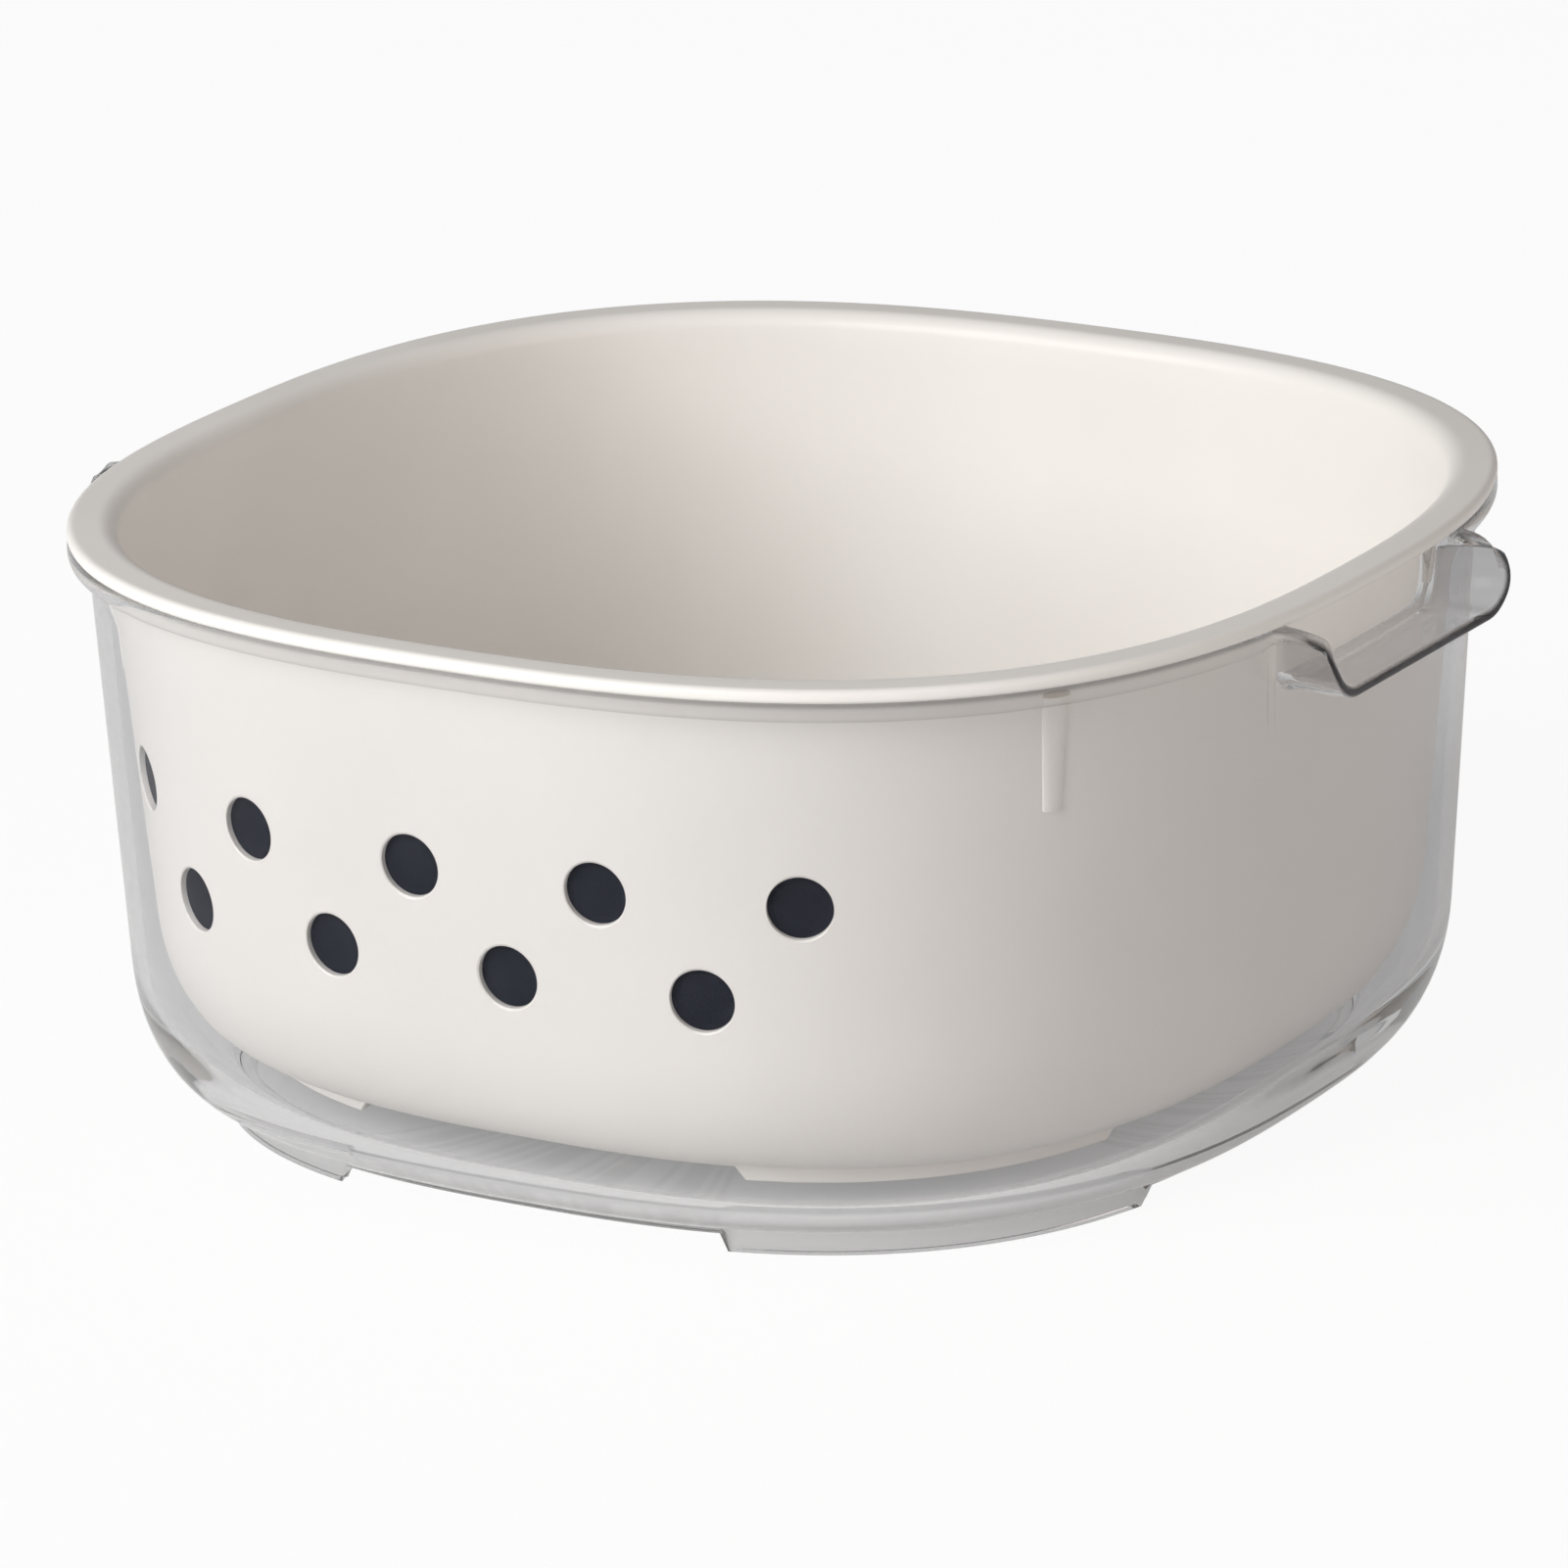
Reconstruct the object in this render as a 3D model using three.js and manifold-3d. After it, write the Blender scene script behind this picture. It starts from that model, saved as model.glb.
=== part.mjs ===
// Double-layer colander bowl: a clear outer bowl, and a drain basket that hangs in it by its rim.
// Millimetres, +Z up. The origin lies under the middle of the bowl, on the plane its feet stand on.
// Drain holes face -Y, handle scoops face +X and -X.
import * as THREE from "three";
import { mergeVertices } from "three/addons/utils/BufferGeometryUtils.js";
import Module from "manifold-3d";

// Overall size, shared by both pieces
const RIM_HALF = 120; // half width of the basket rim, side to side
const HEIGHT = 110; // foot plane to the top of the basket rim
const PLAN_POWER = 2.6; // how square the rounded plan is: 2 is a circle
const REST_GAP = 0.3; // air left between the basket rim and the bowl rim under it

// Basket rim and wall
const BASKET_WALL = 2;
const BASKET_RIM_DEPTH = 2.5; // height of the rim's outer edge
const BASKET_RIM_BAND = 5.4; // width of the rim's top
const BASKET_RIM_ROUND = 0.9; // rounding of the rim's outer edge
const BASKET_TOP_INSET = 6.6; // wall's outer face, in from the rim edge, at the top
const BASKET_LOW_INSET = 12.4; // the same where the bottom curve starts
const BASKET_BEND = 25.8; // outer radius of the bottom curve
const BASKET_FOOT = 3; // height of the basket's feet
const BASKET_FOOT_OUT = 8.6; // their outer face, out from where the floor starts to curve up
const SUMP_DEPTH = 4.2; // air between the basket's feet and the bowl's floor

// Drain holes
const HOLE_RADIUS = 5.8;
const SIDE_HOLES = 9; // in a zigzag on one side
const SIDE_HOLE_STEP = 18.4; // along the wall from one hole to the next
const SIDE_HOLE_SHIFT = -12; // middle hole, along the wall from the middle of the side
const SIDE_HOLE_HIGH = 42; // upper row, down from the rim top
const SIDE_HOLE_LOW = 60; // lower row, down from the rim top
const FLOOR_HOLE_RADIUS = 4;
const FLOOR_HOLE_STEP = 31; // from the middle hole of the floor to the first ring of holes
const FLOOR_RINGS = 2; // rings of holes round the middle hole
const FLOOR_HOLES_PER_RING = 6; // the first ring has this many, the second twice as many

// Ribs that keep the basket from jamming in the bowl
const RIB_WIDTH = 5;
const RIB_TOP = 6; // down from the rim top
const RIB_END = 27;
const RIB_PROUD = 0.8;
const RIB_ANGLE = 38; // round from the middle of a handle side, in degrees

// Bowl rim and wall
const BOWL_WALL = 2.2;
const BOWL_RIM_THICK = 3.2;
const BOWL_RIM_ROUND = 0.8; // rounding of the rim's outer edge
const BOWL_TOP_INSET = 3.4; // wall's outer face, in from the rim edge, at the top
const BOWL_LOW_INSET = 7.9; // the same where the bottom curve starts
const BOWL_BEND = 24.6; // outer radius of the bottom curve
const FOOT_HALF = 97; // half width over the bowl's feet
const FOOT_HEIGHT = 3.4;
const FOOT_THICK = 3;
const FOOT_GAP_HALF = 39.4; // half the opening between two feet

// Handle scoops: the bowl's rim is led down one end, along a level middle and up the other end
const SCOOP_DROP = 10.9; // how far the rim is lowered in the middle
const SCOOP_REACH = 8.7; // how far the lip stands out past the rim
const SCOOP_SHEET = 2.2; // thickness of the lip
const SCOOP_UNDER_ROUND = 0.3; // radius of its underside where an end turns down from the rim
const SCOOP_THINNING = 4; // length in which the rim thins to that
const SCOOP_FADE = 45; // depth below the rim at which the wall is as elsewhere
const LIP_HALF = 33; // half length between the ends, at the lip's edge
const LIP_CORNER = 8.4; // radius between an end and the middle, at the lip's edge
const ROOT_HALF = 29; // half length between the ends, at the wall
const ROOT_CORNER = 4.4; // radius between an end and the middle, at the wall

// Fineness of the curves
const BASKET_COLUMNS = 96;
const BOWL_COLUMNS = 144;
const MIDDLE_SHARE = 0.08; // share of a quarter's columns in the level middle of a scoop
const END_SHARE = 0.36; // share of them at the end of a scoop
const BEND_STEPS = 6;
const ROUND_STEPS = 2;
const WALL_ROWS = 4; // rows of the bowl's wall that a scoop bends
const RIM_ROWS = 3; // rows across the bowl's rim
const SIDE_HOLE_SIDES = 24;
const FLOOR_HOLE_SIDES = 12;
const OVERLAP = 0.5; // how far joined shapes run into each other
const CUT_LENGTH = 16; // length of what cuts a hole, more than any wall

const wasm = await Module();
wasm.setup();

// Helpers for solids
function solidFrom(geometry) {
  const bare = geometry.clone();
  bare.deleteAttribute("normal");
  bare.deleteAttribute("uv");
  const merged = mergeVertices(bare, 1e-4);
  const corners = merged.index.array;
  const kept = [];
  for (let i = 0; i < corners.length; i += 3) {
    const [a, b, c] = corners.slice(i, i + 3);
    if (a !== b && b !== c && c !== a) kept.push(a, b, c);
  }
  const mesh = new wasm.Mesh({
    numProp: 3,
    vertProperties: merged.attributes.position.array,
    triVerts: new Uint32Array(kept),
  });
  return new wasm.Manifold(mesh);
}

function meshFrom(name, solid, material) {
  const data = solid.getMesh();
  const geometry = new THREE.BufferGeometry();
  geometry.setAttribute("position", new THREE.BufferAttribute(data.vertProperties, 3));
  geometry.setIndex(new THREE.BufferAttribute(data.triVerts, 1));
  geometry.computeVertexNormals();
  const mesh = new THREE.Mesh(geometry, material);
  mesh.name = name;
  return mesh;
}

const addAll = (solid, others) => others.reduce((sum, one) => sum.add(one), solid);
const cutAll = (solid, others) => others.reduce((rest, one) => rest.subtract(one), solid);

// Rounded square plan: distance from the axis, for a half width of 1, at an angle from +X
function planReach(angle) {
  const x = Math.abs(Math.cos(angle)) ** PLAN_POWER;
  const y = Math.abs(Math.sin(angle)) ** PLAN_POWER;
  return (x + y) ** (-1 / PLAN_POWER);
}

// Direction square to the plan's edge at an angle from +X
function planNormal(angle) {
  const slope = (v) => Math.sign(v) * Math.abs(v) ** (PLAN_POWER - 1);
  return new THREE.Vector3(slope(Math.cos(angle)), slope(Math.sin(angle)), 0).normalize();
}

// Angle reached by walking along the plan's edge from the middle of the -Y side
function planWalk(half, length) {
  const step = Math.sign(length) * 1e-3;
  let angle = -Math.PI / 2;
  let gone = 0;
  while (gone < Math.abs(length)) {
    const reach = planReach(angle) * half;
    const turn = (planReach(angle + step) * half - reach) / step;
    gone += Math.hypot(reach, turn) * Math.abs(step);
    angle += step;
  }
  return angle;
}

// Turns a profile of (half width, height) points into a body with the rounded square plan
function squareLathe(profile, columns, columnAngle = (turn) => turn, shape = () => {}) {
  const lathe = new THREE.LatheGeometry(profile, columns);
  const at = lathe.attributes.position;
  for (let i = 0; i < at.count; i += 1) {
    const half = Math.hypot(at.getX(i), at.getZ(i));
    const turn = Math.atan2(at.getX(i), at.getZ(i));
    const angle = columnAngle(turn);
    const reach = half * planReach(angle);
    const point = new THREE.Vector3(
      reach * Math.cos(angle),
      reach * Math.sin(angle),
      at.getY(i),
    );
    shape(point, half, angle);
    at.setXYZ(i, point.x, point.y, point.z);
  }
  return solidFrom(lathe);
}

// Points on a quarter or other arc of a profile, angles in degrees from straight out
function arcPoints(half, height, radius, from, to, steps) {
  return Array.from({ length: steps + 1 }, (_, i) => {
    const angle = THREE.MathUtils.degToRad(from + ((to - from) * i) / steps);
    return new THREE.Vector2(
      half + radius * Math.cos(angle),
      height + radius * Math.sin(angle),
    );
  });
}

const spot = (half, height) => new THREE.Vector2(half, height);

// Points on a straight stretch of a profile, with both ends
function rowPoints(from, to, rows) {
  return Array.from({ length: rows + 1 }, (_, i) => from.clone().lerp(to, i / rows));
}

// Four feet: a ring under the piece, opened in the middle of each side
function footRing(half, bottom, top) {
  const ring = squareLathe(
    [
      spot(half - FOOT_THICK, bottom),
      spot(half, bottom),
      spot(half, top),
      spot(half - FOOT_THICK, top),
      spot(half - FOOT_THICK, bottom),
    ],
    BASKET_COLUMNS,
  );
  const opening = new THREE.BoxGeometry(2 * half + CUT_LENGTH, 2 * FOOT_GAP_HALF, CUT_LENGTH);
  opening.translate(0, 0, (bottom + top) / 2);
  const across = solidFrom(opening);
  const along = solidFrom(opening.rotateZ(Math.PI / 2));
  return cutAll(ring, [across, along]);
}

// Heights that follow from the sizes above
const basketRimUnder = HEIGHT - BASKET_RIM_DEPTH;
const bowlRimTop = basketRimUnder - REST_GAP;
const bowlRimUnder = bowlRimTop - BOWL_RIM_THICK;
const bowlFloorTop = FOOT_HEIGHT + BOWL_WALL;
const basketFootBottom = bowlFloorTop + SUMP_DEPTH;
const basketUnder = basketFootBottom + BASKET_FOOT;
const basketTopHalf = RIM_HALF - BASKET_TOP_INSET;
const basketLowHalf = RIM_HALF - BASKET_LOW_INSET;
const bowlTopHalf = RIM_HALF - BOWL_TOP_INSET;
const bowlLowHalf = RIM_HALF - BOWL_LOW_INSET;

// Drain basket
const basketBendHalf = basketLowHalf - BASKET_BEND;
const basketBendHeight = basketUnder + BASKET_BEND;
const basketFlare = RIM_HALF - BASKET_RIM_BAND - (basketTopHalf - BASKET_WALL);
const basketRimMid = HEIGHT - BASKET_RIM_DEPTH / 2;
const basketProfile = [
  spot(0, basketUnder),
  ...arcPoints(basketBendHalf, basketBendHeight, BASKET_BEND, -90, 0, BEND_STEPS),
  spot(basketTopHalf, basketRimUnder),
  spot(RIM_HALF - BASKET_RIM_ROUND, basketRimUnder),
  spot(RIM_HALF, basketRimMid),
  ...arcPoints(
    RIM_HALF - BASKET_RIM_ROUND,
    HEIGHT - BASKET_RIM_ROUND,
    BASKET_RIM_ROUND,
    0,
    90,
    ROUND_STEPS,
  ),
  ...arcPoints(RIM_HALF - BASKET_RIM_BAND, HEIGHT - basketFlare, basketFlare, 90, 180, ROUND_STEPS),
  ...arcPoints(
    basketBendHalf,
    basketBendHeight,
    BASKET_BEND - BASKET_WALL,
    0,
    -90,
    BEND_STEPS,
  ),
  spot(0, basketUnder + BASKET_WALL),
];

// Half width of the basket wall's outer face at a height
function basketHalfAt(height) {
  const climb = (height - basketBendHeight) / (basketRimUnder - basketBendHeight);
  return THREE.MathUtils.lerp(basketLowHalf, basketTopHalf, climb);
}

const basketLean = Math.atan2(basketTopHalf - basketLowHalf, basketRimUnder - basketBendHeight);

// Sets a shape made along +X square to the basket wall, with its middle on the wall's outer face
function acrossWall(geometry, angle, height) {
  const normal = planNormal(angle);
  const reach = basketHalfAt(height) * planReach(angle);
  geometry.rotateY(basketLean);
  geometry.rotateZ(Math.atan2(normal.y, normal.x));
  geometry.translate(reach * Math.cos(angle), reach * Math.sin(angle), height);
  return solidFrom(geometry);
}

const sideHoles = Array.from({ length: SIDE_HOLES }, (_, i) => {
  const height = HEIGHT - (i % 2 === 0 ? SIDE_HOLE_HIGH : SIDE_HOLE_LOW);
  const along = SIDE_HOLE_SHIFT + (i - (SIDE_HOLES - 1) / 2) * SIDE_HOLE_STEP;
  const cutter = new THREE.CylinderGeometry(
    HOLE_RADIUS,
    HOLE_RADIUS,
    CUT_LENGTH,
    SIDE_HOLE_SIDES,
  );
  cutter.rotateZ(Math.PI / 2);
  return acrossWall(cutter, planWalk(basketHalfAt(height), along), height);
});

const floorHoles = Array.from({ length: FLOOR_RINGS + 1 }, (_, ring) => {
  const count = ring === 0 ? 1 : ring * FLOOR_HOLES_PER_RING;
  return Array.from({ length: count }, (_, i) => {
    const angle = (2 * Math.PI * i) / count;
    const cutter = new THREE.CylinderGeometry(
      FLOOR_HOLE_RADIUS,
      FLOOR_HOLE_RADIUS,
      CUT_LENGTH,
      FLOOR_HOLE_SIDES,
    );
    cutter.rotateX(Math.PI / 2);
    cutter.translate(
      ring * FLOOR_HOLE_STEP * Math.cos(angle),
      ring * FLOOR_HOLE_STEP * Math.sin(angle),
      basketUnder + BASKET_WALL / 2,
    );
    return solidFrom(cutter);
  });
}).flat();

const ribAngle = THREE.MathUtils.degToRad(RIB_ANGLE);
const ribs = [ribAngle, -ribAngle, Math.PI - ribAngle, Math.PI + ribAngle].map((angle) => {
  const rib = new THREE.BoxGeometry(2 * RIB_PROUD, RIB_WIDTH, RIB_END - RIB_TOP);
  return acrossWall(rib, angle, HEIGHT - (RIB_TOP + RIB_END) / 2);
});

const basketFootHalf = basketBendHalf + BASKET_FOOT_OUT;
const basketFeet = footRing(basketFootHalf, basketFootBottom, basketUnder + BASKET_WALL);
const basketBody = addAll(squareLathe(basketProfile, BASKET_COLUMNS), [basketFeet, ...ribs]);
const basket = cutAll(basketBody, [...sideHoles, ...floorHoles]);

// Outer bowl
const bowlBendHalf = bowlLowHalf - BOWL_BEND;
const bowlBendHeight = FOOT_HEIGHT + BOWL_BEND;
const stepAngle = THREE.MathUtils.radToDeg(Math.acos((FOOT_HALF - bowlBendHalf) / BOWL_BEND));
const bowlLean = (bowlTopHalf - bowlLowHalf) / (bowlRimUnder - bowlBendHeight);
const scoopFoot = bowlRimTop - SCOOP_FADE;
const scoopFootHalf = bowlTopHalf - bowlLean * (bowlRimUnder - scoopFoot);
const rimEdgeHalf = RIM_HALF - BOWL_RIM_ROUND;
const bowlProfile = [
  spot(0, FOOT_HEIGHT),
  spot(FOOT_HALF, FOOT_HEIGHT),
  ...arcPoints(bowlBendHalf, bowlBendHeight, BOWL_BEND, -stepAngle, 0, BEND_STEPS),
  ...rowPoints(spot(scoopFootHalf, scoopFoot), spot(bowlTopHalf, bowlRimUnder), WALL_ROWS),
  ...rowPoints(spot(bowlTopHalf, bowlRimUnder), spot(rimEdgeHalf, bowlRimUnder), RIM_ROWS).slice(1),
  ...arcPoints(rimEdgeHalf, bowlRimTop - BOWL_RIM_ROUND, BOWL_RIM_ROUND, 0, 90, ROUND_STEPS),
  ...rowPoints(spot(rimEdgeHalf, bowlRimTop), spot(bowlTopHalf, bowlRimTop), RIM_ROWS).slice(1),
  ...rowPoints(
    spot(bowlTopHalf - BOWL_WALL, bowlRimTop),
    spot(scoopFootHalf - BOWL_WALL, scoopFoot),
    WALL_ROWS,
  ),
  ...arcPoints(bowlBendHalf, bowlBendHeight, BOWL_BEND - BOWL_WALL, 0, -90, BEND_STEPS),
  spot(0, bowlFloorTop),
];

// Draws the bowl's columns together at the ends of the scoops
const scoopTurn = SCOOP_SHEET + SCOOP_UNDER_ROUND;
const middleAngle = Math.atan2(LIP_HALF - LIP_CORNER, RIM_HALF);
const endAngle = Math.atan2(LIP_HALF + scoopTurn + SCOOP_THINNING, RIM_HALF);
const columnMarks = [
  [0, 0],
  [MIDDLE_SHARE, middleAngle],
  [MIDDLE_SHARE + END_SHARE, endAngle],
  [1, Math.PI / 2],
];
function scoopColumns(turn) {
  const side = Math.PI * Math.round(turn / Math.PI);
  const share = Math.abs(turn - side) / (Math.PI / 2);
  const next = Math.max(1, columnMarks.findIndex(([mark]) => mark >= share - 1e-9));
  const [fromShare, fromAngle] = columnMarks[next - 1];
  const [toShare, toAngle] = columnMarks[next];
  const away = THREE.MathUtils.mapLinear(share, fromShare, toShare, fromAngle, toAngle);
  return side + Math.sign(turn - side) * away;
}

// Where a rim point goes at a scoop: its move along the side, its drop, and the tilt of its section
function scoopPath(along, half, cornerRadius) {
  const start = half + scoopTurn;
  const corner = Math.min(cornerRadius, SCOOP_DROP - scoopTurn);
  const flat = half - corner;
  const upright = SCOOP_DROP - scoopTurn - corner;
  const turnLength = (Math.PI / 2) * scoopTurn;
  const length = turnLength + upright + (Math.PI / 2) * corner;
  const base = THREE.MathUtils.clamp(along, flat, start);
  const gone = ((start - base) / (start - flat)) * length;
  if (gone < turnLength) {
    const tilt = gone / scoopTurn;
    const move = start - scoopTurn * Math.sin(tilt) - base;
    return { move, drop: scoopTurn * (1 - Math.cos(tilt)), tilt };
  }
  if (gone < turnLength + upright) {
    return { move: half - base, drop: scoopTurn + gone - turnLength, tilt: Math.PI / 2 };
  }
  const tilt = (length - gone) / corner;
  const drop = SCOOP_DROP - corner * (1 - Math.cos(tilt));
  return { move: flat + corner * Math.sin(tilt) - base, drop, tilt };
}

// Distance from the YZ plane of a point of the lip, between the wall and the lip's edge
function lipReach(half, angle, along) {
  const { drop } = scoopPath(along, LIP_HALF, LIP_CORNER);
  const across = planReach(angle) * Math.abs(Math.cos(angle));
  const pulled = THREE.MathUtils.smoothstep(drop, 0, scoopTurn);
  const short = Math.max(0, SCOOP_REACH - drop);
  const edge =
    THREE.MathUtils.lerp(RIM_HALF * across, RIM_HALF, pulled) + Math.sqrt(SCOOP_REACH ** 2 - short ** 2);
  const root = bowlTopHalf * across - bowlLean * drop;
  if (half >= rimEdgeHalf) return edge - (RIM_HALF - half);
  return THREE.MathUtils.mapLinear(half, bowlTopHalf, rimEdgeHalf, root, edge - BOWL_RIM_ROUND);
}

// Leads the rim and the top of the wall round a scoop, in the middle of the +X and -X sides
function pressScoop(point, half, angle) {
  const deep = bowlRimTop - point.z;
  if (Math.abs(Math.cos(angle)) < Math.abs(Math.sin(angle)) || deep > SCOOP_FADE) return;
  const along = RIM_HALF * planReach(angle) * Math.abs(Math.sin(angle));
  const out = THREE.MathUtils.clamp((half - bowlTopHalf) / BOWL_TOP_INSET, 0, 1);
  const end = THREE.MathUtils.lerp(ROOT_HALF, LIP_HALF, out);
  const { move, drop, tilt } = scoopPath(along, end, THREE.MathUtils.lerp(ROOT_CORNER, LIP_CORNER, out));
  const start = end + scoopTurn;
  const rimShare = THREE.MathUtils.smoothstep(along, start, start + SCOOP_THINNING);
  const thick = Math.min(deep, BOWL_RIM_THICK);
  const thin = thick * THREE.MathUtils.lerp(SCOOP_SHEET / BOWL_RIM_THICK, 1, rimShare);
  const keep = 1 - THREE.MathUtils.smoothstep(deep, BOWL_RIM_THICK, SCOOP_FADE);
  const lowered = keep * (drop + thin * Math.cos(tilt) - thick);
  const y = Math.abs(point.y) + keep * (move + thin * Math.sin(tilt));
  const wallHalf = half - bowlLean * lowered;
  const onWall = (wallHalf ** PLAN_POWER - y ** PLAN_POWER) ** (1 / PLAN_POWER);
  point.x = Math.sign(point.x) * (out > 0 ? lipReach(half, angle, along) : onWall);
  point.y = Math.sign(point.y) * y;
  point.z -= lowered;
}

const bowlShell = squareLathe(bowlProfile, BOWL_COLUMNS, scoopColumns, pressScoop);
const bowl = bowlShell.add(footRing(FOOT_HALF, 0, FOOT_HEIGHT + OVERLAP));

// Materials
const cream = new THREE.MeshStandardMaterial({ color: 0xece8e2, roughness: 0.35, metalness: 0 });
const clear = new THREE.MeshStandardMaterial({
  color: 0xdfe3e6,
  roughness: 0.08,
  metalness: 0,
  transparent: true,
  opacity: 0.3,
});

const colander = new THREE.Group();
colander.name = "double_layer_colander";
colander.add(meshFrom("outer_bowl", bowl, clear));
colander.add(meshFrom("drain_basket", basket, cream));

export default colander;
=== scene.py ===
import math

import bmesh
import bpy
from mathutils import Matrix, Vector


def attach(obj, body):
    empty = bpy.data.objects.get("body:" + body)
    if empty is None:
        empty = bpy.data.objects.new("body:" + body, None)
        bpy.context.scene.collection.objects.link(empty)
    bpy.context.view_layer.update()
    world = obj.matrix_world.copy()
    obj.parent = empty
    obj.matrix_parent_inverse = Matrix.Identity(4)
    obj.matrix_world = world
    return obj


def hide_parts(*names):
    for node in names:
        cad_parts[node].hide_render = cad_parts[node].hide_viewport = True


# Double-layer colander bowl: a cream drain basket that hangs by its rim in a clear outer bowl
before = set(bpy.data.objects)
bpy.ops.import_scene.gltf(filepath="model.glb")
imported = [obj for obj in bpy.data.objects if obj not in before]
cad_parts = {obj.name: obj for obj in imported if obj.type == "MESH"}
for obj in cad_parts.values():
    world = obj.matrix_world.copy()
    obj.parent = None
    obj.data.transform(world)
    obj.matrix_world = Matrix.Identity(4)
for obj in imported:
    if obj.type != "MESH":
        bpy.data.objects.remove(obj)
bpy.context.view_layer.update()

MM = 0.001

# Plan and rim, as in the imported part
PLAN_POWER = 2.6
RIM_HALF = 120 * MM
HEIGHT = 110 * MM
REST_GAP = 0.3 * MM

# Drain basket
BASKET_WALL = 2.0 * MM
BASKET_RIM_DEPTH = 2.5 * MM
BASKET_RIM_BAND = 5.4 * MM
BASKET_TOP_HALF = RIM_HALF - 6.6 * MM
BASKET_LOW_HALF = RIM_HALF - 12.4 * MM
BASKET_BEND = 25.8 * MM
BASKET_FOOT = 3.0 * MM
BASKET_FOOT_BOTTOM = 9.8 * MM
BASKET_FOOT_OUT = 8.6 * MM
BASKET_FOOT_STEP = 1.5 * MM

# Drain holes of the side, and of the floor
HOLE_RADIUS = 5.8 * MM
HOLE_ROUND = 0.25 * MM
HOLE_SIDES = 48
SIDE_HOLES = 9
SIDE_HOLE_STEP = 18.4 * MM
SIDE_HOLE_SHIFT = -12 * MM
SIDE_HOLE_HEIGHTS = (HEIGHT - 42 * MM, HEIGHT - 60 * MM)
FLOOR_HOLE_RADIUS = 4.0 * MM
FLOOR_RINGS = 2
FLOOR_HOLE_STEP = 31 * MM
FLOOR_HOLES_PER_RING = 6

# Spool that cuts a drain hole: its wide ends start at the faces of the wall and reach well past them
SPOOL_FLARE = 2 * HOLE_ROUND
SPOOL_PAST = 0.1 * HOLE_ROUND
SPOOL_INWARD = 4 * BASKET_WALL
SPOOL_OUTWARD = 3 * BASKET_WALL

# Painted shade: dark discs that plug the side holes deep inside, so that the holes look dark
SHADE_DEPTH = 1.5 * MM
SHADE_THICK = 0.5 * MM
SHADE_BORDER = HOLE_RADIUS / 5
SHADE_DISH = SHADE_THICK / 4

# Ribs under the basket's rim
RIB_WIDTH = 5.0 * MM
RIB_TOP = HEIGHT - 6 * MM
RIB_END = HEIGHT - 27 * MM
RIB_PROUD = 0.9 * MM
RIB_TAPER = 0.7
RIB_SIDES = 40
RIB_ANGLE = math.radians(38)

# Outer bowl
BOWL_WALL = 2.2 * MM
BOWL_RIM_THICK = 3.2 * MM
BOWL_RIM_ROLL = 1.4 * MM
BOWL_TOP_HALF = RIM_HALF - 3.4 * MM
BOWL_LOW_HALF = RIM_HALF - 7.9 * MM
BOWL_BEND = 24.6 * MM
FOOT_HALF = 97 * MM
FOOT_HEIGHT = 3.4 * MM
FOOT_THICK = 3.0 * MM
FOOT_STEP = 2.0 * MM
FOOT_GAP_HALF = 39.4 * MM
FOOT_END = 0.8 * MM

# Handle scoops: the rim is led down one end, along a level middle and up the other end
SCOOP_DROP = 10.9 * MM
SCOOP_FLAT = 25.2 * MM
SCOOP_TURN = 3.0 * MM
SCOOP_SHEET = 2.2 * MM
SCOOP_REACH = 8.7 * MM
SCOOP_FADE = 45 * MM
SCOOP_THINNING = 4.0 * MM
ROOT_HALF = 29.0 * MM
LIP_HALF = 33.0 * MM
LIP_EDGE = 1.2 * MM

# Corner roundings of the profiles: size, and segments of the arc
SHARP = (0, 0)
FOOT_INSIDE = (0.4 * MM, 2)
FOOT_OUTSIDE = (0.5 * MM, 3)
BOWL_NECK = (0.8 * MM, 3)
BOWL_RIM_UNDER = (BOWL_RIM_ROLL, 6)
BOWL_RIM_EDGE = (0.9 * MM, 4)
BOWL_RIM_INSIDE = (1.8 * MM, 6)
BASKET_NECK = (0.5 * MM, 3)
BASKET_RIM_UNDER = (0.8 * MM, 4)
BASKET_RIM_EDGE = (1.2 * MM, 6)
SPOOL_EDGE = (0.4 * HOLE_ROUND, 3)
BEND_SEGMENTS = 14
FLARE_SEGMENTS = 8

# Columns and rows of faces: tall edges of a profile, and long ones of its rim, are divided into rows
BASKET_COLUMNS = 320
BOWL_COLUMNS = 560
WALL_ROWS = 14
RIM_ROWS = 8
TALL_EDGE = HEIGHT / 4
LONG_RIM_EDGE = 1.0 * MM
RIM_MARGIN = 1.0 * MM

# Columns of the bowl are drawn together at the ends of the scoops: share of a quarter turn, degrees
COLUMN_SHARES = (0, 0.10, 0.34, 1)
COLUMN_ANGLES = (0, 11.0, 18.5, 90)

# Points this close are merged, at a spin's seam and axis, and where a foot ring is opened
SEAM_GAP = 1e-7
OPENED_GAP = 1e-6

# Angle above which an edge is shaded as a sharp one, and the step of a walk round the plan
SHARP_ANGLE = math.radians(28)
WALK_STEP = 0.001

# Painted shade on the clear plastic along its edges and foot: 0 is clear, and 1 has the painted shade's
# colour
PAINTED_SHADE_ATTRIBUTE = "painted_edge_shade"
# The rim's top holds a painted shadow of the cream rim; the rest is painted shade on the roll, lip edge,
# scoop ends and foot
RIM_PAINTED_SHADOW = 0.7
ROLL_PAINTED_SHADE = 0.3
LIP_PAINTED_SHADE = 1.0
SCOOP_END_PAINTED_SHADE = 0.24
FOOT_PAINTED_SHADE = 0.15
PAINTED_EDGE_WIDTH = 0.8 * MM
LIP_START = SCOOP_TURN / 4

# Soft noise in the finishes: its detail, and the part of it over which a colour changes
NOISE_DETAIL = 2
RAMP_STOPS = (0.3, 0.7)

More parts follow.
